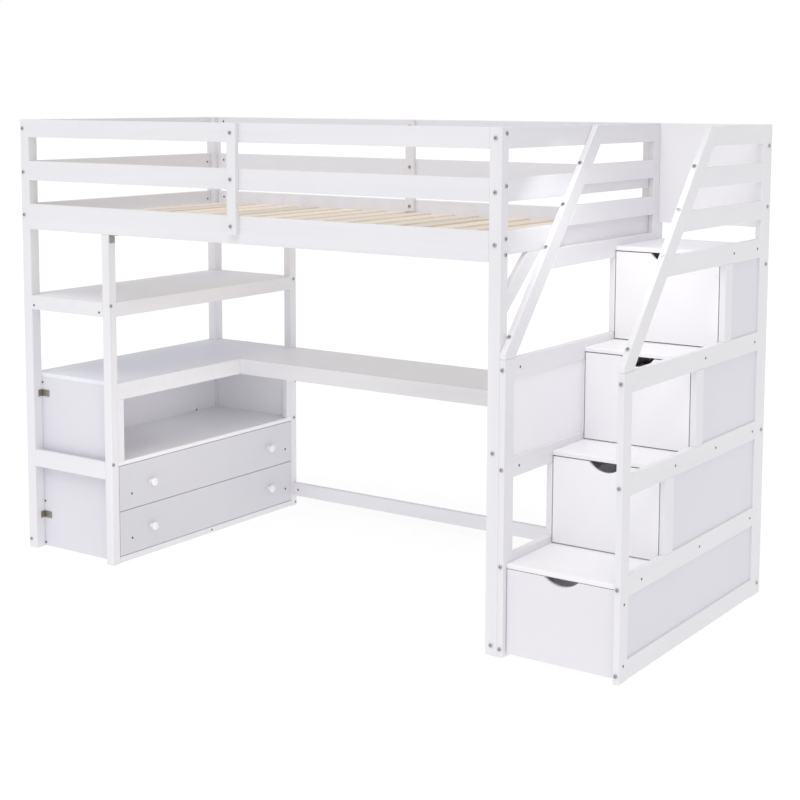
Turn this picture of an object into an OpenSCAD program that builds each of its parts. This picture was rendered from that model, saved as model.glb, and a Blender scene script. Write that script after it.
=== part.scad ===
// Loft bed with an L-shaped desk, a cabinet with two drawers and a staircase with four drawers.
// Built from the front-left floor corner of the bed, then centred on the whole footprint.
// X runs along the bed to the stairs, Y from front to back, Z up. All sizes in millimetres.

/* [Bed] */
// Length of the bed frame over its posts
bed_l = 2050; // [1990:10:2150]
// Width of the bed frame over its posts
bed_w = 1062; // [1050:1:1090]
// Height of the bed posts
bed_h = 1600; // [1580:10:1660]
// Side of a square bed post
post = 42; // [40:1:46]
// Thickness of every rail and frame board
rail_t = 20; // [18:1:22]
// Height of the top guard rails
top_rail_h = 64; // [56:1:70]
// Height of the middle guard rails
mid_rail_h = 70; // [60:1:76]
// Underside of the side rails
side_z = 1200; // [1180:5:1220]
// Height of the long side rails
side_rail_h = 93; // [88:1:100]
// Width of the stiles halfway along the guard rails
stile_w = 38; // [30:1:50]
// Thickness of those stiles
stile_t = 18; // [15:1:20]
// Number of pine slats
slat_count = 18; // [14:1:20]

/* [Desk and cabinet] */
// Distance from the left end to the right face of the inner posts
unit_w = 440; // [420:5:460]
// Side of a square inner post
inner_post = 35; // [32:1:38]
// Top of the desk
desk_z = 662; // [650:1:700]
// Height of the boards around the desk
apron_h = 60; // [50:1:70]
// Front of the long desk arm, from the front of the bed
arm_y = 706; // [660:2:740]
// Top of the upper shelf
shelf_z = 956; // [920:2:1000]
// Height of the boards around the shelf
shelf_edge_h = 52; // [44:1:60]
// Top of the cabinet, which is the floor of the open compartment
cubby_z = 376; // [360:2:390]
// Diameter of a drawer knob
knob_d = 32; // [26:1:38]

/* [Staircase] */
// Width of the staircase over its side frames
stair_w = 410; // [390:5:450]
// Top of the first step
first_step = 290; // [286:1:294]
// Rise to the second step
second_rise = 297; // [293:1:301]
// Rise to the third step
third_rise = 302; // [298:1:306]
// Rise to the top step
top_rise = 311; // [307:1:315]
// Setback of the first step from the front posts
first_setback = 20; // [12:1:28]
// Setback of the second step from the front posts
second_setback = 295; // [280:5:310]
// Distance from each later step to the next
going = 204; // [195:1:210]
// Thickness of a step board
tread_t = 15; // [14:1:18]
// Height of the rails of the side frames
frame_rail_h = 62; // [58:1:66]
// Width of the front posts and the stiles, front to back
frame_post_w = 55; // [50:1:60]
// Width of the back posts, front to back
back_post_w = 76; // [60:1:80]
// Width of the slanted handrails
handrail_w = 58; // [50:1:64]
// Width of the finger cutout in a drawer front
cutout_w = 116; // [90:2:130]
// Depth of the finger cutout
cutout_h = 30; // [20:1:36]
// Depth of the finger cutout in the lowest drawer
low_cutout_h = 23; // [18:1:30]

/* [Hidden] */
$fn = 32;

total_l = bed_l + stair_w;
white = [0.93, 0.92, 0.95];
shade = [0.84, 0.84, 0.86];
pine = [0.80, 0.62, 0.40];
steel = [0.45, 0.45, 0.48];
zinc = [0.62, 0.60, 0.54];
floor_gap = 3;
// Hairline between boards that meet in one drawer box or one set of edge boards
seam = 0.3;

// Heights of the bed rails: top, middle and side, as [underside, height]
mid_rail_z = (side_z + side_rail_h + bed_h - top_rail_h - mid_rail_h) / 2;
end_rail_h = 71;
side_top = side_z + side_rail_h;
end_side_z = side_top - end_rail_h;
brace_w = 52;
brace_run = 120;
brace_drop = 105;
low_rail_h = 60;

// Slats lie on ledgers fixed along the inside of the side rails
ledger = [25, 28];
slat = [70, 18];
slat_end_gap = 30;
slat_z = side_z + ledger[1];
slat_top = slat_z + slat[1];

front_stile_z = side_z + 32;
back_stile_z = slat_top + 4;

// Long board near the floor at the back
stretcher_z = 43;
stretcher_h = 54;

// Desk unit
panel_t = 15;
front_panel_y = post;
inside_front = front_panel_y + panel_t;
inside_back = bed_w - inner_post;
unit_stile_w = 29;
drawer_gap = 2;
plinth_h = 22;
unit_floor_z = floor_gap + plinth_h;
mid_gap_z = 191.5;
drawer_inset = 35;
box_t = 12;
bottom_t = 6;
unit_box_h = 112;
unit_box_lift = 14;
unit_box_x = 50;
runner_t = 16;
runner_guide = 34;
slide_gap = 0.6;
knob_inset_front = 165;
knob_inset_back = 145;
knob_drop = 2;

// Staircase
stair_x = bed_l;
left_in = stair_x + rail_t;
right_out = total_l;
right_in = total_l - rail_t;
back_post_y = bed_w - back_post_w;
back_panel_y = bed_w - 34;
back_panel_t = 16;
guard_panel_z = 1258;
STEPS = [0, 1, 2, 3];
TREAD_TOPS = [
    first_step,
    first_step + second_rise,
    first_step + second_rise + third_rise,
    first_step + second_rise + third_rise + top_rise
];
function tread_top(i) = TREAD_TOPS[i];
function tread_y(i) = i == 0 ? first_setback : second_setback + going * (i - 1);
function rail_z(i) = tread_top(i) - tread_t / 2 - frame_rail_h / 2;
function rail_top(i) = rail_z(i) + frame_rail_h;
front_post_h = rail_top(2);
base_rail_h = 60;
infill_t = 8;
stair_gap = 3;
low_gap = 1.5;
stair_floor_t = 12;
foot_clearance = 10;
box_depths = [800, 600, 420, 240];
stair_box_h = 190;

// Handrail: rises from the front posts to the top of the bed
hand_foot = 19;
hand_reach = 565;
hand_slope = hand_reach / (bed_h - front_post_h - hand_foot);
hand_angle = atan(hand_slope);
hand_run = handrail_w / cos(hand_angle);
function hand_y(z) = (z - front_post_h - hand_foot) * hand_slope;
function hand_back(z) = hand_y(z) + hand_run;
guard_top_z = bed_h - frame_rail_h;
guard_pitch = (guard_top_z - rail_z(3)) / 3;
function guard_z(i) = rail_z(3) + guard_pitch * i;

// Hardware
bolt_d = 13;
bolt_h = 2.5;
screw_d = 8;
screw_h = 0.8;
bracket_t = 2;
bracket_w = 25;
bracket_leg = 38;
bracket_short_leg = 20;
bracket_heights = [112, 574];

// Moves from the front-left floor corner to the centre of the footprint
module placed() {
    translate([-total_l / 2, -(bed_w - stile_t) / 2, 0]) children();
}

// A board between two opposite corners
module board(low, high) {
    translate(low) cube(high - low);
}

// A board in the plane of a side frame, drawn as an outline in Y and Z
module frame_board(x, thickness, outline) {
    translate([x, 0, 0])
        rotate([90, 0, 90])
            linear_extrude(height = thickness) polygon(outline);
}

// ---- Bed ----

module square_post(x, y, side, height) {
    placed() board([x, y, 0], [x + side, y + side, height]);
}

module post_front_left() {
    color(white) square_post(0, 0, post, bed_h);
}

module post_back_left() {
    color(white) square_post(0, bed_w - post, post, bed_h);
}

module post_front_right() {
    color(white) square_post(bed_l - post, 0, post, bed_h);
}

module post_back_right() {
    color(white) square_post(bed_l - post, bed_w - post, post, bed_h);
}

module long_rail(y, z, height) {
    placed() board([post, y, z], [bed_l - post, y + rail_t, z + height]);
}

module guard_pair(y) {
    color(white) {
        long_rail(y, bed_h - top_rail_h, top_rail_h);
        long_rail(y, mid_rail_z, mid_rail_h);
    }
}

module guard_rails_front() {
    guard_pair(0);
}

module guard_rails_back() {
    guard_pair(bed_w - rail_t);
}

module side_rail_front() {
    color(white) long_rail(0, side_z, side_rail_h);
}

module side_rail_back() {
    color(white) long_rail(bed_w - rail_t, side_z, side_rail_h);
}

module end_rail(x, z, height) {
    placed() board([x, post, z], [x + rail_t, bed_w - post, z + height]);
}

module end_set(x) {
    color(white) {
        end_rail(x, bed_h - top_rail_h, top_rail_h);
        end_rail(x, mid_rail_z, mid_rail_h);
        end_rail(x, end_side_z, end_rail_h);
        end_rail(x, desk_z - apron_h, apron_h);
        end_rail(x, floor_gap, low_rail_h);
    }
}

module end_rails_left() {
    end_set(0);
}

module end_rails_right() {
    end_set(bed_l - rail_t);
}

// One stile stands outside the front rails, the other inside the back rails
module guard_stiles() {
    left = (bed_l - stile_w) / 2;
    inner_y = bed_w - rail_t - stile_t;
    color(white)
        placed() {
            board([left, -stile_t, front_stile_z], [left + stile_w, 0, bed_h]);
            board([left, inner_y, back_stile_z], [left + stile_w, inner_y + stile_t, bed_h]);
        }
}

module slat_ledgers() {
    color(white)
        for (y = [rail_t, bed_w - rail_t - ledger[0]])
            placed() board([post, y, side_z], [bed_l - post, y + ledger[0], side_z + ledger[1]]);
}

module slats() {
    first = post + slat_end_gap;
    pitch = (bed_l - 2 * first - slat[0]) / (slat_count - 1);
    color(pine)
        for (i = [0 : slat_count - 1])
            placed() board([first + i * pitch, rail_t, slat_z],
                           [first + i * pitch + slat[0], bed_w - rail_t, slat_top]);
}

module back_stretcher() {
    color(white)
        placed() board([unit_w, bed_w - rail_t, stretcher_z],
                       [bed_l - post, bed_w, stretcher_z + stretcher_h]);
}

// Diagonal brace between the front right post and the end rail above it
module corner_brace() {
    slope = atan(brace_drop / brace_run);
    color(white)
        placed()
            frame_board(bed_l - rail_t, rail_t, [
                [post, end_side_z - brace_drop],
                [post + brace_run, end_side_z],
                [post + brace_run + brace_w / sin(slope), end_side_z],
                [post, end_side_z - brace_drop - brace_w / cos(slope)]
            ]);
}

// ---- Desk unit ----

module inner_post_front() {
    color(white) square_post(unit_w - inner_post, 0, inner_post, side_z);
}

module inner_post_back() {
    color(white) square_post(unit_w - inner_post, bed_w - inner_post, inner_post, side_z);
}

// Cuts the corners that the posts fill out of a flat panel
module clear_of_posts() {
    difference() {
        children();
        placed()
            for (y = [0, bed_w - post], x = [0, bed_l - post])
                board([x, y, 0], [x + post, y + post, bed_h]);
        placed()
            for (y = [0, bed_w - inner_post])
                board([unit_w - inner_post, y, 0], [unit_w, y + inner_post, side_z]);
    }
}

module shelf_board() {
    color(shade)
        clear_of_posts()
            placed() board([rail_t, rail_t, shelf_z - panel_t],
                           [unit_w - rail_t, bed_w - rail_t, shelf_z]);
}

module shelf_edges() {
    z = shelf_z - shelf_edge_h;
    color(white)
        placed() {
            board([post, 0, z], [unit_w - inner_post, rail_t, shelf_z]);
            board([post, bed_w - rail_t, z], [unit_w - inner_post, bed_w, shelf_z]);
            board([0, post, z], [rail_t, bed_w - post, shelf_z]);
            board([unit_w - rail_t, inner_post, z], [unit_w, bed_w - inner_post, shelf_z]);
        }
}

module desk_top_left() {
    color(shade)
        placed() board([rail_t, front_panel_y, desk_z - panel_t],
                       [unit_w - rail_t, arm_y + rail_t, desk_z]);
}

module desk_top_back() {
    color(shade)
        clear_of_posts()
            placed() board([rail_t, arm_y + rail_t, desk_z - panel_t],
                           [bed_l - rail_t, bed_w - rail_t, desk_z]);
}

module desk_aprons() {
    z = desk_z - apron_h;
    color(white)
        placed() {
            board([unit_w - rail_t, inner_post, z], [unit_w, arm_y + rail_t, desk_z]);
            board([unit_w + seam, arm_y, z], [bed_l - rail_t, arm_y + rail_t, desk_z]);
            board([post, bed_w - rail_t, z], [unit_w - inner_post, bed_w, desk_z]);
            board([unit_w, bed_w - rail_t, z], [bed_l - post, bed_w, desk_z]);
        }
}

module cabinet_front_panel() {
    color(shade)
        placed() board([rail_t, front_panel_y, floor_gap],
                       [unit_w - rail_t, inside_front, desk_z - panel_t]);
}

module cabinet_front_rail() {
    color(white)
        placed() board([post, 0, cubby_z - frame_rail_h],
                       [unit_w - inner_post, rail_t, cubby_z]);
}

module cabinet_left_panel() {
    color(shade)
        placed() board([rail_t, inside_front, floor_gap],
                       [rail_t + panel_t, bed_w - post, desk_z - panel_t]);
}

module cabinet_back_panel() {
    color(shade)
        placed() board([post, inside_back, floor_gap],
                       [unit_w - inner_post, bed_w - rail_t, desk_z - apron_h]);
}

// The floor has a lip that closes the corner below the front stile
module cubby_floor() {
    color(shade)
        clear_of_posts()
            placed() {
                board([rail_t + panel_t, inside_front, cubby_z - panel_t],
                      [unit_w, inside_back, cubby_z]);
                board([unit_w - rail_t, inner_post, cubby_z - panel_t],
                      [unit_w, inside_front, cubby_z]);
            }
}

// Stiles beside the open compartment, and the plinth below the drawers
module cabinet_face_frame() {
    x = unit_w - rail_t;
    back_stile_y = bed_w - inner_post - unit_stile_w;
    color(white)
        placed() {
            board([x, inner_post, cubby_z], [unit_w, inner_post + unit_stile_w, desk_z - apron_h]);
            board([x, back_stile_y, cubby_z],
                  [unit_w, back_stile_y + unit_stile_w, desk_z - apron_h]);
            board([x, inner_post, floor_gap], [unit_w, bed_w - inner_post, unit_floor_z]);
        }
}

// Underside of a desk drawer's box: tier 0 is the lower drawer, tier 1 the upper one
function unit_front_z(tier) = tier == 0 ? unit_floor_z + drawer_gap : mid_gap_z + drawer_gap / 2;
function unit_front_top(tier) = tier == 0 ? mid_gap_z - drawer_gap / 2 : cubby_z - panel_t - drawer_gap;
function unit_box_z(tier) = unit_front_z(tier) + unit_box_lift;

// L-shaped runners: a shelf under the box and a guide beside it
module drawer_runners() {
    x_end = unit_w - rail_t - 2;
    length = x_end - unit_box_x;
    inner = drawer_inset + box_t;
    color(shade)
        placed()
            for (tier = [0, 1], side = [0, 1]) {
                z = unit_box_z(tier) - slide_gap - runner_t;
                wall = side == 0 ? inside_front : inside_back;
                way = side == 0 ? 1 : -1;
                translate([unit_box_x, wall, z])
                    rotate([90, 0, 90])
                        linear_extrude(height = length)
                            polygon([
                                [0, 0],
                                [way * inner, 0],
                                [way * inner, runner_t],
                                [way * (drawer_inset - 1), runner_t],
                                [way * (drawer_inset - 1), runner_t + runner_guide],
                                [0, runner_t + runner_guide]
                            ]);
            }
}

module desk_drawer_front(tier) {
    color(white)
        placed() board([unit_w - panel_t, inner_post + drawer_gap, unit_front_z(tier)],
                       [unit_w, bed_w - inner_post - drawer_gap, unit_front_top(tier)]);
}

// A drawer box that opens towards -Y, from its front-left corner: two sides, a back and a bottom
module open_box(size) {
    inner_x = size[0] - box_t - seam;
    inner_y = size[1] - box_t - seam;
    board([0, 0, 0], [box_t, size[1], size[2]]);
    board([size[0] - box_t, 0, 0], size);
    board([box_t + seam, size[1] - box_t, 0], [inner_x, size[1], size[2]]);
    board([box_t + seam, 0, 0], [inner_x, inner_y, bottom_t]);
}

module desk_drawer_box(tier) {
    width = inside_back - inside_front - 2 * drawer_inset;
    color(shade)
        placed()
            translate([unit_w - panel_t, inside_front + drawer_inset, unit_box_z(tier)])
                rotate([0, 0, 90])
                    open_box([width, unit_w - panel_t - unit_box_x, unit_box_h]);
}

// A turned knob on a short neck, standing on a front that faces +X
module knob() {
    r = knob_d / 2;
    rotate([0, 90, 0])
        rotate_extrude($fn = 48)
            polygon(concat(
                [[0, 0], [r * 0.62, 0], [r * 0.40, 6], [r * 0.46, 10]],
                [for (a = [-40 : 10 : 90]) [r * cos(a), 17 + 9 * sin(a)]]
            ));
}

// Two knobs, and the two screws that fix the front to the sides of the box
module desk_drawer_fittings(tier) {
    z = (unit_front_z(tier) + unit_front_top(tier)) / 2;
    screw_inset = drawer_inset + box_t / 2;
    placed() {
        color(white)
            for (y = [inner_post + knob_inset_front, bed_w - inner_post - knob_inset_back])
                translate([unit_w, y, z - knob_drop]) knob();
        color(steel)
            screw_row("+x", [for (y = [inside_front + screw_inset, inside_back - screw_inset])
                [unit_w, y, unit_front_z(tier) + 56]]);
    }
}

module upper_drawer_front() {
    desk_drawer_front(1);
}

module upper_drawer_box() {
    desk_drawer_box(1);
}

module upper_drawer_fittings() {
    desk_drawer_fittings(1);
}

module lower_drawer_front() {
    desk_drawer_front(0);
}

module lower_drawer_box() {
    desk_drawer_box(0);
}

module lower_drawer_fittings() {
    desk_drawer_fittings(0);
}

// ---- Staircase ----

module stair_posts_front() {
    color(white)
        placed()
            for (x = [stair_x, right_in])
                board([x, 0, 0], [x + rail_t, frame_post_w, front_post_h]);
}

module stair_posts_back() {
    color(white)
        placed()
            for (x = [stair_x, right_in])
                board([x, back_post_y, 0], [x + rail_t, bed_w, bed_h]);
}

// Rails of one side frame at the floor and at the first three steps
module frame_rails(x) {
    color(white)
        placed() {
            board([x, frame_post_w, floor_gap], [x + rail_t, back_post_y, floor_gap + base_rail_h]);
            for (i = [0, 1, 2])
                board([x, frame_post_w, rail_z(i)], [x + rail_t, back_post_y, rail_top(i)]);
        }
}

module stair_rails_left() {
    frame_rails(stair_x);
}

module stair_rails_right() {
    frame_rails(right_in);
}

// Stiles beside the fronts of drawers 2, 3 and 4
module stair_stiles() {
    color(white)
        placed()
            for (x = [stair_x, right_in], i = [1, 2, 3])
                board([x, tread_y(i), rail_top(i - 1)],
                      [x + rail_t, tread_y(i) + frame_post_w, rail_z(i)]);
}

// Thin panels set into the side frames
module infill(x, y0, y1, z0, z1) {
    inset = (rail_t - infill_t) / 2;
    board([x + inset, y0, z0], [x + inset + infill_t, y1, z1]);
}

module stair_panels() {
    color(shade)
        placed() {
            for (x = [stair_x, right_in]) {
                infill(x, frame_post_w, back_post_y, floor_gap + base_rail_h, rail_z(0));
                for (i = [1, 2, 3])
                    infill(x, tread_y(i) + frame_post_w, back_post_y, rail_top(i - 1), rail_z(i));
            }
            infill(stair_x, frame_post_w, tread_y(2), rail_top(1), rail_z(2));
        }
}

// Each step is one deep board, which is also the floor of the drawer above it
module stair_treads() {
    color(white)
        placed()
            for (i = STEPS)
                board([left_in, tread_y(i), tread_top(i) - tread_t],
                      [right_in, i == 3 ? bed_w : back_panel_y, tread_top(i)]);
}

module stair_floor() {
    color(shade)
        placed() board([left_in, tread_y(0) + panel_t + 2, floor_gap],
                       [right_in, back_panel_y, floor_gap + stair_floor_t]);
}

module stair_back_panel() {
    color(white)
        placed() board([left_in, back_panel_y, floor_gap],
                       [right_in, back_panel_y + back_panel_t, tread_top(3) - tread_t]);
}

module guard_back_panel() {
    color(white)
        placed() board([left_in, back_panel_y, guard_panel_z],
                       [right_in, back_panel_y + back_panel_t, bed_h]);
}

// Four guard rails whose front ends are cut along the slanted handrail
module guard_side(x) {
    color(white)
        placed()
            for (i = STEPS) {
                low = guard_z(i);
                high = low + frame_rail_h;
                frame_board(x, rail_t, [
                    [hand_back(low), low],
                    [back_post_y, low],
                    [back_post_y, high],
                    [hand_back(high), high]
                ]);
            }
}

module stair_guard_left() {
    guard_side(stair_x);
}

module stair_guard_right() {
    guard_side(right_in);
}

module handrails() {
    color(white)
        placed()
            for (x = [stair_x, right_in])
                frame_board(x, rail_t, [
                    [0, front_post_h],
                    [0, front_post_h + hand_foot],
                    [hand_reach, bed_h],
                    [hand_back(bed_h), bed_h],
                    [hand_back(front_post_h), front_post_h]
                ]);
}

// Floor that a stair drawer slides on, and the height of its front
function stair_floor_z(i) = i == 0 ? floor_gap + stair_floor_t : tread_top(i - 1);
function stair_front_z(i) = i == 0 ? foot_clearance : tread_top(i - 1) + stair_gap;
function front_gap(i) = i == 0 ? low_gap : stair_gap;
function stair_front_top(i) = tread_top(i) - tread_t - front_gap(i);

// Front with a finger cutout: a segment of a circle at the middle of its top edge
module step_drawer_front(i) {
    depth = i == 0 ? low_cutout_h : cutout_h;
    radius = (pow(cutout_w / 2, 2) + pow(depth, 2)) / (2 * depth);
    top = stair_front_top(i);
    y = tread_y(i);
    middle = (left_in + right_in) / 2;
    color(white)
        placed()
            difference() {
                board([left_in + front_gap(i), y, stair_front_z(i)],
                      [right_in - front_gap(i), y + panel_t, top]);
                translate([middle, y - 1, top - depth + radius])
                    rotate([-90, 0, 0])
                        cylinder(r = radius, h = panel_t + 2, $fn = 96);
            }
}

module step_drawer_box(i) {
    x0 = left_in + stair_gap + 2;
    x1 = right_in - stair_gap - 2;
    color(shade)
        placed()
            translate([x0, tread_y(i) + panel_t, stair_floor_z(i) + slide_gap])
                open_box([x1 - x0, box_depths[i], stair_box_h]);
}

module step_drawer_1_front() {
    step_drawer_front(0);
}

module step_drawer_1_box() {
    step_drawer_box(0);
}

module step_drawer_2_front() {
    step_drawer_front(1);
}

module step_drawer_2_box() {
    step_drawer_box(1);
}

module step_drawer_3_front() {
    step_drawer_front(2);
}

module step_drawer_3_box() {
    step_drawer_box(2);
}

module step_drawer_4_front() {
    step_drawer_front(3);
}

module step_drawer_4_box() {
    step_drawer_box(3);
}

// ---- Hardware ----

// Turns a shape that stands along +Z so that it stands along the given axis
module facing(way) {
    if (way == "-y") rotate([90, 0, 0]) children();
    if (way == "+y") rotate([-90, 0, 0]) children();
    if (way == "+x") rotate([0, 90, 0]) children();
    if (way == "-x") rotate([0, -90, 0]) children();
    if (way == "slant") rotate([90 - hand_angle, 0, 0]) children();
}

// Round bolt head with a hexagonal socket
module bolt_head() {
    difference() {
        cylinder(d = bolt_d, h = bolt_h, $fn = 32);
        translate([0, 0, 1]) cylinder(d = 6, h = bolt_h, $fn = 6);
    }
}

// Bolt heads at a list of points on faces that look one way
module bolt_row(way, points) {
    for (p = points)
        translate(p) facing(way) bolt_head();
}

module bolts() {
    top_z = bed_h - top_rail_h / 2;
    mid_z = mid_rail_z + mid_rail_h / 2;
    end_mid_z = mid_z - 6;
    end_low_z = end_side_z + end_rail_h * 0.43;
    side_mid = side_z + side_rail_h / 2;
    base_mid = floor_gap + low_rail_h / 2;
    right_post = bed_l - post / 2;
    inner_face = bed_w - rail_t - stile_t;
    stile_x = bed_l / 2;
    frame_mid = rail_t / 2;
    back_mid = back_panel_y + back_panel_t / 2;
    end_face_z = [top_z + 13, mid_z + 12, side_mid + 24, side_mid - 24];
    color(steel)
        placed() {
            for (side = [["-y", 0], ["+y", bed_w]]) {
                bolt_row(side[0], [for (z = [top_z, end_mid_z, end_low_z, base_mid])
                    [rail_t / 2 + 3, side[1], z]]);
                bolt_row(side[0], [for (z = [top_z, end_mid_z, end_low_z, desk_z - apron_h * 0.6, base_mid])
                    [right_post, side[1], z]]);
                bolt_row(side[0], [for (x = [stair_x, right_in], i = [0, 1, 2])
                    [x + frame_mid, side[1], rail_z(i) + frame_rail_h / 2]]);
                bolt_row(side[0], [for (x = [stair_x, right_in])
                    [x + frame_mid, side[1], floor_gap + base_rail_h * 0.4]]);
            }
            bolt_row("+y", [for (x = [stair_x, right_in], i = [0, 1, 2, 3])
                [x + frame_mid, bed_w, guard_z(i) + frame_rail_h / 2]]);
            bolt_row("-y", [for (z = [top_z, mid_z, side_mid + 13])
                [stile_x - 3, -stile_t, z]]);
            bolt_row("-y", [for (z = [top_z + 7, mid_z + 5, slat_top + 23])
                [stile_x + 2, inner_face, z]]);
            bolt_row("+x", [for (z = end_face_z) [bed_l, post * 0.67, z]]);
            bolt_row("-x", [for (y = [post * 0.67, bed_w - post * 0.67], z = end_face_z) [0, y, z]]);
            bolt_row("+x", [for (z = [bed_h - 70, guard_panel_z + 70, tread_top(3) - 65,
                                      tread_top(1) - 14, 40])
                [right_out, back_mid, z]]);
            bolt_row("slant", [for (x = [stair_x, right_in], z = hand_bolt_z())
                [x + frame_mid, hand_y(z), z]]);
            bolt_row("+x", [for (y = [bolt_d / 2, bed_w - inner_post / 2], z = [shelf_z - 10, cubby_z - 5])
                [unit_w, y, z]]);
        }
}

// Each guard rail but the top one is bolted through the handrail, square to its face
function hand_bolt_z() = concat(
    [front_post_h + 64],
    [for (i = [0, 1, 2]) guard_z(i) + frame_rail_h / 2 + handrail_w * sin(hand_angle)]
);

// Small flush screw heads
module screw_row(way, points) {
    for (p = points)
        translate(p) facing(way) cylinder(d = screw_d, h = screw_h, $fn = 24);
}

module screws() {
    nut_z = [bed_h - top_rail_h * 0.4, mid_rail_z + mid_rail_h / 2, side_z + side_rail_h * 0.65];
    nut_inset = post + 20;
    panel_z = [desk_z - 36, cubby_z / 2 - 14, floor_gap + 12];
    color(steel)
        placed() {
            screw_row("+x", [for (i = STEPS, y = tread_screws(i))
                [right_out, y, rail_z(i) + frame_rail_h / 2]]);
            screw_row("+x", [for (z = [rail_z(0) - 17, floor_gap + 48])
                [right_out, frame_post_w / 2, z]]);
            screw_row("+x", [[unit_w, bed_w / 2, floor_gap + plinth_h / 2]]);
            screw_row("+x", [for (z = [desk_z - apron_h - 80, floor_gap + plinth_h / 2])
                [unit_w, bed_w - screw_d, z]]);
            screw_row("+x", [[rail_t + panel_t, bed_w - 162, cubby_z + screw_d / 2]]);
            for (side = [["-y", 0], ["+y", bed_w]])
                screw_row(side[0], [for (x = [post + 12, unit_w - inner_post - 16])
                    [x, side[1], shelf_z - shelf_edge_h * 0.7]]);
            screw_row("-y", [for (z = panel_z) [post + 4, front_panel_y, z]]);
            screw_row("-y", [[unit_w + 23, bed_w - rail_t, stretcher_z + stretcher_h / 2]]);
            screw_row("+x", [for (i = [1, 2])
                [left_in, frame_post_w + 33, rail_z(i) + frame_rail_h / 2]]);
            screw_row("+x", [for (z = nut_z, y = [nut_inset, bed_w - nut_inset]) [rail_t, y, z]]);
            screw_row("-y", [for (z = nut_z, x = [nut_inset + 12, bed_l - nut_inset - 12])
                [x, bed_w - rail_t, z + 8]]);
        }
}

// Distances from the front of the screws that hold each step board
function tread_screws(i) = [
    for (t = [0, 0.5, 1])
        let (first = max(tread_y(i) + 62, 138), y = first + t * (back_post_y - 26 - first))
            if (i < 2 || t != 0.5) y
];

// Angle brackets: two hold the front panel to its post, one holds the inner post to the bed
module brackets() {
    t = bracket_t;
    leg = bracket_leg;
    color(zinc)
        placed() {
            for (z = bracket_heights)
                translate([post, front_panel_y, z])
                    linear_extrude(height = bracket_w)
                        polygon([[0, 0], [leg, 0], [leg, -t], [t, -t],
                                 [t, -bracket_short_leg], [0, -bracket_short_leg]]);
            translate([unit_w, 6, side_z])
                rotate([-90, 0, 0])
                    linear_extrude(height = bracket_w)
                        polygon([[0, 0], [leg, 0], [leg, t], [t, t], [t, 30], [0, 30]]);
        }
}

post_front_left();
post_back_left();
post_front_right();
post_back_right();
guard_rails_front();
side_rail_front();
guard_rails_back();
side_rail_back();
end_rails_left();
end_rails_right();
guard_stiles();
slat_ledgers();
slats();
back_stretcher();
corner_brace();
inner_post_front();
inner_post_back();
shelf_board();
shelf_edges();
desk_top_left();
desk_top_back();
desk_aprons();
cabinet_front_panel();
cabinet_front_rail();
cabinet_left_panel();
cabinet_back_panel();
cubby_floor();
cabinet_face_frame();
drawer_runners();
upper_drawer_front();
upper_drawer_box();
upper_drawer_fittings();
lower_drawer_front();
lower_drawer_box();
lower_drawer_fittings();
stair_posts_front();
stair_posts_back();
stair_rails_left();
stair_rails_right();
stair_stiles();
stair_panels();
stair_treads();
stair_floor();
stair_back_panel();
guard_back_panel();
stair_guard_left();
stair_guard_right();
handrails();
step_drawer_1_front();
step_drawer_1_box();
step_drawer_2_front();
step_drawer_2_box();
step_drawer_3_front();
step_drawer_3_box();
step_drawer_4_front();
step_drawer_4_box();
bolts();
screws();
brackets();
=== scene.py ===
"""Looks of the loft bed: satin white paint on wood, bare pine slats and plated bolts, in studio light."""
import math

import bpy
from mathutils import Matrix, Vector


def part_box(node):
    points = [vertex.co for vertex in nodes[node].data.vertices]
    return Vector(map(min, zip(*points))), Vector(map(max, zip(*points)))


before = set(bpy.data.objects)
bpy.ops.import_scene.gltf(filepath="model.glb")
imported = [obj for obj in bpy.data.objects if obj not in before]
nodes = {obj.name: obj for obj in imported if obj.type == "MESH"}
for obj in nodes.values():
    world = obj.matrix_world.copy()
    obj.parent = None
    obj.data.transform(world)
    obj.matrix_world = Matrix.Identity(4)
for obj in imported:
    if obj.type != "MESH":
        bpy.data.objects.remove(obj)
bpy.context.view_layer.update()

scene = bpy.context.scene

# ---- Camera, at the photograph's viewing angle ----

CAMERA_AT = (3.1929, -4.4823, 1.6872)
CAMERA_YAW = 0.6035
CAMERA_PITCH = -0.1110
CAMERA_ROLL = 0.0034
CAMERA_LENS = 70.78
CAMERA_SHIFT = (-0.0010, -0.1600)
LEVEL = math.radians(90)

camera_data = bpy.data.cameras.new("camera")
camera_data.sensor_width = 36
camera_data.lens = CAMERA_LENS
camera_data.shift_x, camera_data.shift_y = CAMERA_SHIFT
camera = bpy.data.objects.new("camera", camera_data)
scene.collection.objects.link(camera)
camera.matrix_world = (
    Matrix.Translation(CAMERA_AT)
    @ Matrix.Rotation(CAMERA_YAW, 4, "Z")
    @ Matrix.Rotation(LEVEL + CAMERA_PITCH, 4, "X")
    @ Matrix.Rotation(CAMERA_ROLL, 4, "Z")
)
scene.camera = camera

# ---- Colours, linear ----

WHITE = (0.85, 0.84, 0.872, 1)
# painted light: a bluer copy of the white paint, cancelling the warm light the pine slats throw on the
# back rails
COOL_PAINTED_LIGHT_WHITE = (0.852, 0.855, 0.912, 1)
# painted light: a lighter copy of the white paint, for the treads, the cubby's inside, the back panels and
# three step drawers' fronts
PAINTED_LIGHT_WHITE = (0.93, 0.92, 0.945, 1)
BOARD = (0.86, 0.85, 0.885, 1)
# painted light: bluer copies of the white board paint, for the shelf and the desk tops
COOL_PAINTED_LIGHT_BOARD = (0.87, 0.88, 0.955, 1)
DESK_PAINTED_LIGHT_BOARD = (0.865, 0.866, 0.922, 1)
# painted shade: a darker copy of the white board paint, for the cabinet's and the staircase's panels
PANEL = (0.765, 0.758, 0.815, 1)
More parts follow.
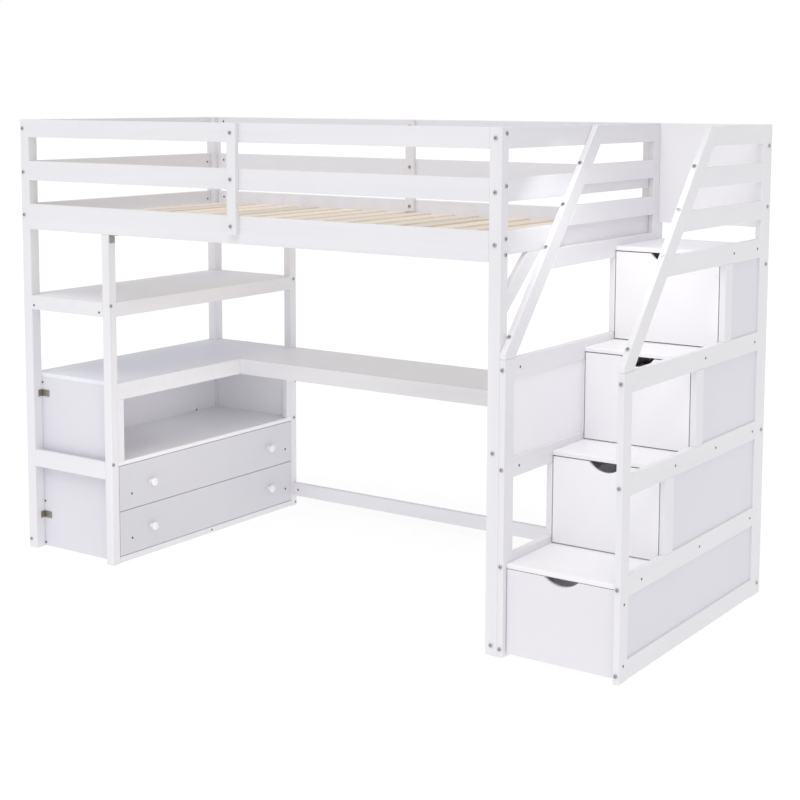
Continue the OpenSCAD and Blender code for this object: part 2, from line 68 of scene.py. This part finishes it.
# painted shade: darker copies of the white board paint, for the desk's drawer fronts and the lowest step
# drawer's front
DRAWER = (0.705, 0.70, 0.74, 1)
LOW_DRAWER_PAINTED_SHADE = (0.825, 0.808, 0.852, 1)
KNOB = (0.90, 0.89, 0.92, 1)
SCREW = (0.10, 0.10, 0.11, 1)
LEFT_PANEL_PAINTED_LIGHT = (1.24, 1.23, 1.19, 1)  # painted light, times the panels' colour, on the staircase's left side

PINE_EARLY = (0.90, 0.815, 0.705, 1)
PINE_LATE = (0.82, 0.70, 0.56, 1)
PINE_PALE = (0.93, 0.88, 0.80, 1)
PINE_FIBRE = (0.68, 0.55, 0.41, 1)
PINE_KNOT = (0.26, 0.12, 0.05, 1)

STEEL = (0.50, 0.50, 0.53, 1)
DARK_STEEL = (0.16, 0.16, 0.17, 1)
ZINC = (0.40, 0.385, 0.35, 1)
# painted shade for the recesses of bolts and brackets
RECESS_PAINTED_SHADE = (0.03, 0.03, 0.035, 1)

# ---- Gloss, edge wear and painted edge highlights; a pair of roughnesses is for the glossiest and the dullest places ----

PAINT_IOR = 1.46
PINE_IOR = 1.45
WOOD_ROUGHNESS = (0.31, 0.44)
PINE_ROUGHNESS = (0.50, 0.66)
BOARD_ROUGHNESS = 0.33
KNOB_ROUGHNESS = 0.20
STEEL_ROUGHNESS = 0.30
DARK_STEEL_ROUGHNESS = 0.40
ZINC_ROUGHNESS = 0.38
STEEL_TARNISH = (0.9, 0.88, 0.84)
ZINC_TARNISH = (0.95, 0.9, 0.78)
EDGE_WEAR_AND_HIGHLIGHT_SHARE = 0.5  # how far a rounded edge goes towards a lighter colour: thinner paint, and a painted highlight

# ---- Material graphs ----


def tinted(colour, factors):
    """A colour times one factor for each channel, no channel above 1."""
    return tuple(min(1, c * k) for c, k in zip(colour[:3], factors)) + (1,)


class Graph:
    """A material's node tree, built by naming nodes and plugging values or sockets into them."""

    def __init__(self, name):
        self.material = bpy.data.materials.new(name)
        self.material.use_nodes = True
        self.tree = self.material.node_tree
        self.tree.nodes.clear()
        self.shader = self.tree.nodes.new("ShaderNodeBsdfPrincipled")
        output = self.tree.nodes.new("ShaderNodeOutputMaterial")
        self.tree.links.new(self.shader.outputs[0], output.inputs["Surface"])
        place = self.tree.nodes.new("ShaderNodeTexCoord")
        self.at = place.outputs["Object"]
        self.normal = place.outputs["Normal"]

    def plug(self, socket, value):
        if isinstance(value, bpy.types.NodeSocket):
            self.tree.links.new(value, socket)
        else:
            socket.default_value = value

    def add(self, kind, inputs=(), **settings):
        node = self.tree.nodes.new("ShaderNode" + kind)
        for key, value in settings.items():
            setattr(node, key, value)
        for key, value in dict(inputs).items():
            self.plug(node.inputs[key], value)
        return node

    def set(self, **inputs):
        for key, value in inputs.items():
            self.plug(self.shader.inputs[key.replace("_", " ")], value)

    def math(self, operation, *values):
        return self.add("Math", enumerate(values), operation=operation).outputs[0]

    def blend(self, a, b, share):
        """share of a plus the rest of b."""
        return self.math("ADD", self.math("MULTIPLY", a, share), self.math("MULTIPLY", b, 1 - share))

    def split(self, vector):
        return self.add("SeparateXYZ", {0: vector}).outputs

    def ramp(self, value, low, high, to_low=0.0, to_high=1.0):
        node = self.add(
            "MapRange",
            {"Value": value, "From Min": low, "From Max": high, "To Min": to_low, "To Max": to_high},
        )
        return node.outputs["Result"]

    def mix(self, amount, a, b, how="MIX"):
        node = self.add("Mix", data_type="RGBA", blend_type=how)
        for i, v in ((0, amount), (6, a), (7, b)):
            self.plug(node.inputs[i], v)
        return node.outputs[2]

    def noise(self, vector, scale=1, detail=3, roughness=0.5, distortion=0):
        node = self.add(
            "TexNoise",
            {"Vector": vector, "Scale": scale, "Detail": detail, "Roughness": roughness,
             "Distortion": distortion},
        )
        return node.outputs[0]

    def stretched(self, scale, turn=(0, 0, 0), vector=None):
        """Object coordinates, turned and then scaled separately along each axis."""
        vector = vector or self.at
        if any(turn):
            vector = self.add("Mapping", {"Vector": vector, "Rotation": turn}).outputs[0]
        return self.add("Mapping", {"Vector": vector, "Scale": scale}).outputs[0]

    def bump(self, height, strength, distance, normal=None):
        """Relief of a height from 0 to 1 over distance, in metres, on top of any earlier relief."""
        inputs = {"Height": height, "Strength": strength, "Distance": distance}
        if normal:
            inputs["Normal"] = normal
        return self.add("Bump", inputs).outputs[0]


# ---- Paint, pine and metal ----

SLAT_COUNT = 18
SLAT_WIDTH = 0.070
SLAT_SPREAD = 7.0  # each slat's pattern is moved by up to this much along each axis, in metres
SLAT_SHADES = (0.86, 1.06)  # the darkest and the lightest slat, times the pine's colour
SCREW_ZONE = 0.012  # the length that holds a screw, at each end of a drawer's row of fittings

# The way each look's grain runs, as an index into X, Y, Z; the handrails' grain is first turned to Y
ALONG = {"x": 0, "y": 1, "z": 2, "slant": 1}
HANDRAIL_ANGLE = math.radians(49.8)


def grain_scale(axis, along, across):
    scale = [across] * 3
    scale[ALONG[axis]] = along
    return tuple(scale)


def edge_mask(g, turn=(0, 0, 0)):
    """1 on rounded edges and 0 on the flat sides of a board."""
    normal = g.normal
    if any(turn):
        normal = g.add("Mapping", {"Vector": normal, "Rotation": turn}, vector_type="NORMAL").outputs[0]
    sizes = [g.math("ABSOLUTE", part) for part in g.split(normal)]
    largest = g.math("MAXIMUM", g.math("MAXIMUM", sizes[0], sizes[1]), sizes[2])
    return g.ramp(largest, 0.985, 0.86)


def painted_wood(name, axis, colour):
    """Satin paint over solid pine: the grain shows faintly in its height and its gloss."""
    g = Graph(name)
    turn = (HANDRAIL_ANGLE, 0, 0) if axis == "slant" else (0, 0, 0)
    rings = g.stretched(grain_scale(axis, along=1.3, across=26), turn)
    pores = g.stretched(grain_scale(axis, along=5, across=260), turn)
    wide = g.noise(rings, roughness=0.55, distortion=0.6)
    fine = g.noise(pores, detail=4, roughness=0.62, distortion=0.3)
    peel = g.noise(g.at, scale=620, detail=2)
    cloud = g.noise(g.at, scale=2.1, detail=2)
    deep = tinted(colour, (0.955, 0.955, 0.955))
    worn_and_highlit = tinted(colour, (1.05, 1.045, 1.02))
    body = g.mix(g.ramp(g.blend(wide, cloud, 0.6), 0.35, 0.68), deep, colour)
    # rounded edges lighter: thinner paint, and a painted highlight
    body = g.mix(g.math("MULTIPLY", edge_mask(g, turn), EDGE_WEAR_AND_HIGHLIGHT_SHARE), body, worn_and_highlit)
    gloss = g.ramp(g.blend(wide, fine, 0.5), 0.3, 0.7, *WOOD_ROUGHNESS)
    relief = g.bump(fine, 0.22, 0.00012)
    relief = g.bump(wide, 0.25, 0.0004, relief)
    relief = g.bump(peel, 0.10, 0.00008, relief)
    g.set(Base_Color=body, Roughness=gloss, Normal=relief, IOR=PAINT_IOR)
    return g.material


def board_graph(name, colour, rough=BOARD_ROUGHNESS):
    """Satin paint on smooth board, with a fine orange peel and slight rolling marks.

    Returns the graph and its colour socket, so that a paint can vary the colour further.
    """
    g = Graph(name)
    peel = g.noise(g.at, scale=480, detail=2)
    cloud = g.noise(g.at, scale=1.7)
    roll = g.noise(g.stretched((34, 34, 7)), roughness=0.55)
    deep = tinted(colour, (0.97, 0.97, 0.97))
    worn_and_highlit = tinted(colour, (1.04, 1.04, 1.04))
    body = g.mix(g.ramp(cloud, 0.35, 0.65), deep, colour)
    # rounded edges lighter: thinner paint, and a painted highlight
    body = g.mix(g.math("MULTIPLY", edge_mask(g), EDGE_WEAR_AND_HIGHLIGHT_SHARE), body, worn_and_highlit)
    gloss = g.ramp(g.blend(roll, cloud, 0.6), 0.35, 0.65, rough - 0.04, rough + 0.06)
    relief = g.bump(peel, 0.12, 0.00008)
    relief = g.bump(roll, 0.12, 0.0003, relief)
    g.set(Base_Color=body, Roughness=gloss, Normal=relief, IOR=PAINT_IOR)
    return g, body


def painted_board(name, colour):
    return board_graph(name, colour)[0].material


def stair_panel_paint():
    """The left frame's panels get painted light: a lighter colour than the right frame's, from the same
    paint.
    """
    low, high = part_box("stair_panels")
    g, body = board_graph("stair_panel_board", PANEL)
    left = g.math("LESS_THAN", g.split(g.at)["X"], (low.x + high.x) / 2)
    g.set(Base_Color=g.mix(left, body, LEFT_PANEL_PAINTED_LIGHT, "MULTIPLY"))
    return g.material


def knob_and_screw_paint(name, node):
    """White lacquer on the knobs; the screws, outermost at both ends of the row, are dark steel."""
    low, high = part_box(node)
    g, body = board_graph(name, KNOB, KNOB_ROUGHNESS)
    away = g.math("ABSOLUTE", g.math("SUBTRACT", g.split(g.at)["Y"], (low.y + high.y) / 2))
    outer = g.math("GREATER_THAN", away, (high.y - low.y) / 2 - SCREW_ZONE)
    g.set(Base_Color=g.mix(outer, body, SCREW), Metallic=outer)
    return g.material


def pine_boards(name, first_x, pitch):
    """Sanded pine laid in a row of slats: growth rings, pores and the odd knot, different in each slat."""
    g = Graph(name)
    from_first = g.math("SUBTRACT", g.split(g.at)["X"], first_x)
    number = g.math("FLOOR", g.math("DIVIDE", from_first, pitch))
    chance = g.add("TexWhiteNoise", {"W": number}, noise_dimensions="1D")
    colour_chance = chance.outputs["Color"]
    own = g.add("VectorMath", {0: colour_chance, 3: SLAT_SPREAD}, operation="SCALE").outputs[0]
    moved = g.add("VectorMath", {0: g.at, 1: own}, operation="ADD").outputs[0]
    bent = g.noise(g.stretched((9, 1.1, 9), vector=moved))
    rings = g.add(
        "TexWave",
        {"Vector": g.stretched((1, 0.05, 1), vector=moved), "Scale": 26.0, "Distortion": 5.5,
         "Detail": 3.0, "Detail Scale": 1.4, "Detail Roughness": 0.55},
        wave_type="BANDS", bands_direction="X", wave_profile="SAW",
    ).outputs[1]
    fibre = g.noise(g.stretched((420, 9, 420), vector=moved), roughness=0.6)
    spots = g.add("TexVoronoi", {"Vector": g.stretched((9, 1.9, 9), vector=moved), "Scale": 1.0})
    knot = g.ramp(spots.outputs["Distance"], 0.10, 0.05)
    colour = g.mix(g.ramp(rings, 0.1, 0.95), PINE_EARLY, PINE_LATE)
    colour = g.mix(g.math("MULTIPLY", bent, 0.45), colour, PINE_PALE)
    colour = g.mix(g.math("MULTIPLY", fibre, 0.22), colour, PINE_FIBRE)
    colour = g.mix(g.math("MULTIPLY", knot, 0.85), colour, PINE_KNOT)
    shade = g.ramp(chance.outputs["Value"], 0, 1, *SLAT_SHADES)
    grey = g.add("CombineXYZ", {0: shade, 1: shade, 2: shade}).outputs[0]
    colour = g.mix(1.0, colour, grey, "MULTIPLY")
    gloss = g.ramp(fibre, 0.3, 0.7, *PINE_ROUGHNESS)
    relief = g.bump(fibre, 0.3, 0.00015)
    relief = g.bump(rings, 0.15, 0.0002, relief)
    g.set(Base_Color=colour, Roughness=gloss, Normal=relief, IOR=PINE_IOR)
    return g.material


def plated(name, colour, rough, tarnish):
    """Plated steel with fine turning marks and cloudy gloss; recesses get painted shade, darker by an
    occlusion mask.
    """
    g = Graph(name)
    cloud = g.noise(g.at, scale=260, roughness=0.6)
    lines = g.noise(g.stretched((900, 900, 60)), detail=2)
    recess_shade_mask = g.add("AmbientOcclusion", {"Distance": 0.004}, samples=4, only_local=True).outputs["AO"]
    body = g.mix(g.ramp(cloud, 0.35, 0.65), tinted(colour, tarnish), colour)
    # painted shade: darkest where the occlusion mask finds a recess
    body = g.mix(g.ramp(recess_shade_mask, 0.35, 0.9), RECESS_PAINTED_SHADE, body)
    gloss = g.ramp(cloud, 0.3, 0.7, rough - 0.06, rough + 0.1)
    relief = g.bump(lines, 0.2, 0.00005)
    g.set(Base_Color=body, Metallic=1.0, Roughness=gloss, Normal=relief)
    return g.material


slat_low, slat_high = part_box("slats")
slat_pitch = (slat_high.x - slat_low.x - SLAT_WIDTH) / (SLAT_COUNT - 1)

paint = {axis: painted_wood(f"white_paint_{axis}", axis, WHITE) for axis in ALONG}
# painted light: the treads' white paint, made lighter
painted_light_wood = painted_wood("painted_light_white_x", "x", PAINTED_LIGHT_WHITE)
# painted light: the back rails' white paint, tinted bluer against the slats' warm light
cool_painted_light_wood = painted_wood("cool_painted_light_x", "x", COOL_PAINTED_LIGHT_WHITE)
board = painted_board("white_board", BOARD)
# painted shade: the panels' darker copy of the white board
panel = painted_board("panel_board", PANEL)
# painted light: the shelf's and the desk tops' bluer copies of the white board
cool_painted_light_board = painted_board("cool_painted_light_board", COOL_PAINTED_LIGHT_BOARD)
desk_painted_light_board = painted_board("desk_painted_light_board", DESK_PAINTED_LIGHT_BOARD)
# painted light: a lighter copy of the white board, for the cubby, the back panels and three step drawers'
# fronts
painted_light_board = painted_board("painted_light_board", PAINTED_LIGHT_WHITE)
# painted shade: darker copies of the white board, for the desk's drawers and the lowest step drawer
drawer_painted_shade = painted_board("drawer_painted_shade", DRAWER)
low_drawer_paint = painted_board("low_drawer_paint", LOW_DRAWER_PAINTED_SHADE)
pine = pine_boards("pine", slat_low.x - (slat_pitch - SLAT_WIDTH) / 2, slat_pitch)
steel = plated("steel", STEEL, STEEL_ROUGHNESS, STEEL_TARNISH)
dark_steel = plated("dark_steel", DARK_STEEL, DARK_STEEL_ROUGHNESS, STEEL_TARNISH)
zinc = plated("zinc", ZINC, ZINC_ROUGHNESS, ZINC_TARNISH)

# ---- The nodes that share each look and each edge rounding, in metres ----

LOOKS = [
    (paint["z"], 0.0025, "post_front_left post_back_left post_front_right post_back_right "
                         "inner_post_front inner_post_back stair_posts_front stair_posts_back"),
    (paint["z"], 0.002, "guard_stiles"),
    (paint["z"], 0.0012, "cabinet_face_frame stair_stiles"),
    (paint["x"], 0.002, "guard_rails_front side_rail_front back_stretcher cabinet_front_rail"),
    (paint["x"], 0.0015, "desk_aprons"),
    (paint["x"], 0.001, "slat_ledgers"),
    (paint["y"], 0.002, "end_rails_left end_rails_right corner_brace stair_rails_left "
                        "stair_rails_right stair_guard_left stair_guard_right"),
    (paint["y"], 0.0015, "shelf_edges"),
    (paint["slant"], 0.003, "handrails"),
    (cool_painted_light_wood, 0.002, "guard_rails_back side_rail_back"),
    (painted_light_wood, 0.003, "stair_treads"),
    (board, 0.001, "drawer_runners stair_floor"),
    (board, 0.0008, "upper_drawer_box lower_drawer_box step_drawer_1_box step_drawer_2_box "
                    "step_drawer_3_box step_drawer_4_box"),
    (cool_painted_light_board, 0.0008, "shelf_board"),
    (desk_painted_light_board, 0.0008, "desk_top_left desk_top_back"),
    (panel, 0.001, "cabinet_front_panel"),
    (stair_panel_paint(), 0.0005, "stair_panels"),
    (painted_light_board, 0.001, "cabinet_left_panel cabinet_back_panel cubby_floor stair_back_panel"),
    (painted_light_board, 0.0015, "guard_back_panel step_drawer_2_front step_drawer_3_front "
                           "step_drawer_4_front"),
    (low_drawer_paint, 0.0015, "step_drawer_1_front"),
    (drawer_painted_shade, 0.0015, "upper_drawer_front lower_drawer_front"),
    (knob_and_screw_paint("upper_knob_paint", "upper_drawer_fittings"), 0, "upper_drawer_fittings"),
    (knob_and_screw_paint("lower_knob_paint", "lower_drawer_fittings"), 0, "lower_drawer_fittings"),
    (pine, 0.0015, "slats"),
    (steel, 0.0004, "bolts"),
    (dark_steel, 0.0002, "screws"),
    (zinc, 0.0004, "brackets"),
]

WELD_GAP = 0.00001
FLAT_ANGLE = math.radians(1)
EDGE_ANGLE = math.radians(40)


def soften(piece, width):
    """Rounds a node's edges with modifiers only, so that its CAD mesh stays as it is."""
    weld = piece.modifiers.new("weld", "WELD")
    weld.merge_threshold = WELD_GAP
    if width:
        flat = piece.modifiers.new("flat", "DECIMATE")
        flat.decimate_type = "DISSOLVE"
        flat.angle_limit = FLAT_ANGLE
        bevel = piece.modifiers.new("bevel", "BEVEL")
        bevel.width = width
        bevel.segments = 3
        bevel.limit_method = "ANGLE"
        bevel.angle_limit = EDGE_ANGLE
        bevel.harden_normals = True


for look, rounding, names in LOOKS:
    for name in names.split():
        piece = nodes[name]
        piece.data.materials.clear()
        piece.data.materials.append(look)
        soften(piece, rounding)

# ---- Floor and light ----

FLOOR_GLOW = 0.75
FLOOR_HALF = 60
FLOOR_DROP = 0.001
FLOOR_TONES = ((0.29, 0.29, 0.292, 1), (0.31, 0.31, 0.311, 1))


def plain_floor():
    """A white studio floor that is lit from within a little, so that it stays pale in the shade."""
    g = Graph("floor")
    cloud = g.noise(g.at, scale=0.6, detail=2)
    g.set(Base_Color=g.mix(cloud, *FLOOR_TONES), Roughness=0.7)
    g.set(Emission_Color=(1, 1, 1, 1), Emission_Strength=FLOOR_GLOW, Specular_IOR_Level=0.1)
    mesh = bpy.data.meshes.new("floor")
    half = FLOOR_HALF
    corners = [(-half, -half, 0), (half, -half, 0), (half, half, 0), (-half, half, 0)]
    mesh.from_pydata(corners, [], [(0, 1, 2, 3)])
    floor = bpy.data.objects.new("floor", mesh)
    floor.location.z = -FLOOR_DROP
    mesh.materials.append(g.material)
    scene.collection.objects.link(floor)


def studio_world(light, backdrop):
    """An even sky of one strength, in front of a backdrop that shows as plain white."""
    world = bpy.data.worlds.new("studio")
    scene.world = world
    world.use_nodes = True
    tree = world.node_tree
    strength = tree.nodes.new("ShaderNodeMapRange")
    strength.inputs["To Min"].default_value = light
    strength.inputs["To Max"].default_value = backdrop
    seen = tree.nodes.new("ShaderNodeLightPath").outputs["Is Camera Ray"]
    tree.links.new(seen, strength.inputs["Value"])
    background = tree.nodes["Background"]
    background.inputs["Color"].default_value = (1, 1, 1, 1)
    tree.links.new(strength.outputs["Result"], background.inputs["Strength"])


def hang(lamp, direction):
    """Adds a lamp to the scene, shining in a direction."""
    lamp.rotation_euler = Vector(direction).to_track_quat("-Z", "Y").to_euler()
    scene.collection.objects.link(lamp)


def sun(name, direction, energy, angle):
    data = bpy.data.lights.new(name, "SUN")
    data.energy = energy
    data.angle = math.radians(angle)
    hang(bpy.data.objects.new(name, data), direction)


def soft_box(name, at, direction, size, energy, spread):
    """A small hidden light that opens up a deep corner of the object."""
    data = bpy.data.lights.new(name, "AREA")
    data.shape = "SQUARE"
    data.size = size
    data.energy = energy
    data.spread = math.radians(spread)
    lamp = bpy.data.objects.new(name, data)
    lamp.location = at
    lamp.visible_camera = False
    hang(lamp, direction)


SKY_LIGHT = 0.66
BACKDROP = 1.0
KEY_AIM = (-0.10, 0.48, -0.87)

DESK_LAMP_AT = (0.15, -0.80, 0.62)  # in front of the bed, as high as the desk
DESK_LAMP_AIM = (-1.15, 1.05, -0.12)
STAIR_LAMP_AT = (1.02, -0.36, 1.50)  # above the lowest step
STAIR_LAMP_AIM = (0.0, 0.60, -0.80)
CUBBY_LAMP_Y = 0.08
CUBBY_LAMP_DROP = 0.01  # below the desk's aprons
CUBBY_LAMP_AIM = (0.0, 0.1, -1.0)
DRAWER_LAMP_ENERGY = {1: 0.12, 2: 0.09, 3: 0.06, 4: 0.04}
DOWN = (0, 0, -1)

cubby_low, cubby_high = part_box("cubby_floor")
under_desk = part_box("desk_aprons")[0].z - CUBBY_LAMP_DROP
cubby_lamp_at = ((cubby_low.x + cubby_high.x) / 2, CUBBY_LAMP_Y, under_desk)

plain_floor()
studio_world(SKY_LIGHT, BACKDROP)
sun("key", KEY_AIM, energy=1.05, angle=50)
soft_box("desk_fill", DESK_LAMP_AT, DESK_LAMP_AIM, size=0.7, energy=0.55, spread=75)
soft_box("cubby_fill", cubby_lamp_at, CUBBY_LAMP_AIM, size=0.32, energy=0.05, spread=150)
soft_box("stair_fill", STAIR_LAMP_AT, STAIR_LAMP_AIM, size=0.3, energy=0.5, spread=130)
for number, energy in DRAWER_LAMP_ENERGY.items():
    inside_low, inside_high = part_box(f"step_drawer_{number}_box")
    middle = (inside_low + inside_high) / 2
    soft_box(f"drawer_{number}_fill", middle, DOWN, size=0.1, energy=energy, spread=180)

scene.view_settings.view_transform = "Standard"
